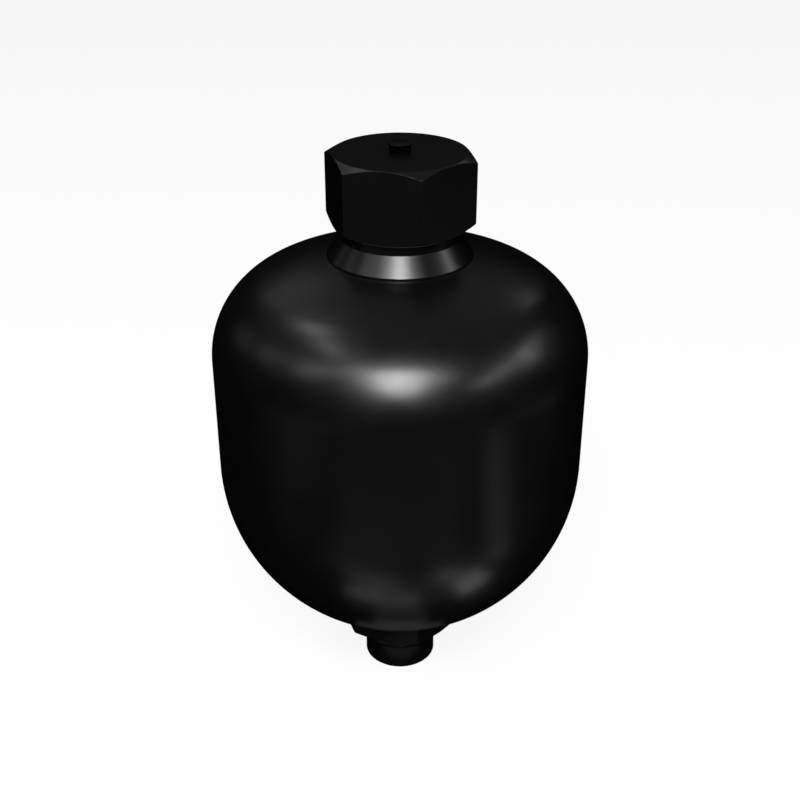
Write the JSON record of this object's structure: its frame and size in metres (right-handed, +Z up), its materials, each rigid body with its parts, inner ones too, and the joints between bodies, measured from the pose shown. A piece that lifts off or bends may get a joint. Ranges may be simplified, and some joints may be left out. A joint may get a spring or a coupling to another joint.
{
  "type": "hydraulic accumulator",
  "caption": "Welded diaphragm accumulator: dished steel vessel with a hexagon fluid port below and a screw cap over the gas charging valve on top.",
  "frame": {"origin": "centre of the lower end face of the fluid port's spigot", "axes": "+Z up along the vessel's axis, from the fluid port to the gas valve"},
  "size_m": [0.12, 0.12, 0.1893],
  "materials": {
    "vessel_paint": "black semi-gloss paint",
    "cap_paint": "black semi-gloss coating",
    "machined_steel": "turned, zinc plated",
    "valve_brass": "turned",
    "spring_wire": "drawn wire",
    "rubber": "moulded matt"
  },
  "bodies": {
    "vessel": {"lower_shell": "vessel_paint", "upper_shell": "vessel_paint", "gas_boss": "vessel_paint", "fluid_port": "vessel_paint", "backing_ring": "machined_steel", "clamp_ring": "machined_steel", "diaphragm": "rubber", "valve_body": "valve_brass", "valve_body_seal": "rubber", "core_body": "valve_brass", "core_seal": "rubber", "valve_spring": "spring_wire", "cap_washer": "rubber"},
    "cap_pad": {"cap_seal_pad": "rubber"},
    "cap_pivot": {"cap_stud": "cap_paint", "cap_pad_holder": "machined_steel"},
    "cap": {"valve_cap": "cap_paint"},
    "button": {"button_plate": "machined_steel", "button_washer": "machined_steel", "button_nut": "machined_steel"},
    "pin": {"valve_pin": "valve_brass", "poppet_seal": "rubber"}
  },
  "joints": [
    {"name": "cap_lift_off", "type": "slide", "parent": "vessel", "child": "cap_pad", "axis": [0, 0, 1], "range_m": [0, 0.08]},
    {"name": "cap_travel", "type": "slide", "parent": "cap_pad", "child": "cap_pivot", "axis": [0, 0, 1], "range_m": [0, 0.006]},
    {"name": "cap_turn", "type": "hinge", "parent": "cap_pivot", "child": "cap", "pos_m": [0, 0, 0.1642], "axis": [0, 0, 1], "range_deg": [0, 1440]},
    {"name": "button_travel", "type": "slide", "parent": "vessel", "child": "button", "axis": [0, 0, 1], "range_m": [0, 0.05], "deforming": ["diaphragm"]},
    {"name": "pin_press", "type": "slide", "parent": "vessel", "child": "pin", "axis": [0, 0, -1], "range_m": [0, 0.0015], "stiffness_N_per_m": 800, "springref_m": -0.002, "deforming": ["valve_spring"]}
  ],
  "couplings": [
    {"joint": "cap_travel", "follows": "cap_turn", "m_per_rad": 0.0002387}
  ]
}
